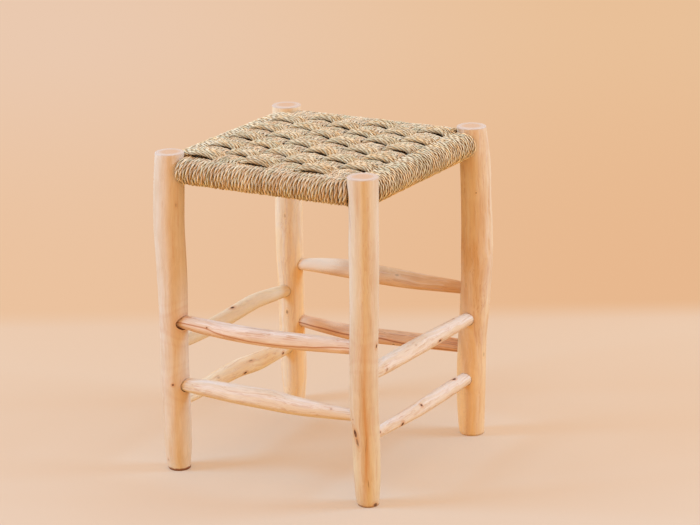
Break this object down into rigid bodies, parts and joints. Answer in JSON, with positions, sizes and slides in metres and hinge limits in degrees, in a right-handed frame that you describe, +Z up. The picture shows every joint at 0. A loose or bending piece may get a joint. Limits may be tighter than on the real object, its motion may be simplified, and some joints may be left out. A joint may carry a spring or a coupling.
{
  "type": "woven rope stool",
  "caption": "Square rustic stool of hand-shaped pale wooden poles with tapered rungs and a checkerboard seat of twisted natural fibre rope.",
  "frame": {"origin": "on the floor, below the middle of the stool's bounding box", "axes": "+Z up; +X along the front, from the left post to the right post; +Y from the front towards the rear"},
  "size_m": [0.349, 0.3554, 0.45],
  "materials": {
    "post_wood": "raw, hand-peeled and sanded",
    "rung_wood": "raw, hand-peeled",
    "rail_wood": "raw, hidden under rope",
    "warp_rope": "coarse twisted palm fibre rope",
    "weft_rope": "coarse twisted palm fibre rope"
  },
  "bodies": {
    "root": {"post_front_left": "post_wood", "post_front_right": "post_wood", "post_rear_right": "post_wood", "post_rear_left": "post_wood", "rung_front_upper": "rung_wood", "rung_front_lower": "rung_wood", "rung_rear_upper": "rung_wood", "rung_rear_lower": "rung_wood", "rung_left_upper": "rung_wood", "rung_left_lower": "rung_wood", "rung_right_upper": "rung_wood", "rung_right_lower": "rung_wood", "seat_rail_front": "rail_wood", "seat_rail_rear": "rail_wood", "seat_rail_left": "rail_wood", "seat_rail_right": "rail_wood", "warp_band_1": "warp_rope", "warp_band_2": "warp_rope", "warp_band_3": "warp_rope", "warp_band_4": "warp_rope", "warp_band_5": "warp_rope", "warp_band_6": "warp_rope", "weft_band_1": "weft_rope", "weft_band_2": "weft_rope", "weft_band_3": "weft_rope", "weft_band_4": "weft_rope", "weft_band_5": "weft_rope", "weft_band_6": "weft_rope", "weft_band_7": "weft_rope", "weft_band_8": "weft_rope", "weft_band_9": "weft_rope", "weft_band_10": "weft_rope"}
  },
  "joints": []
}
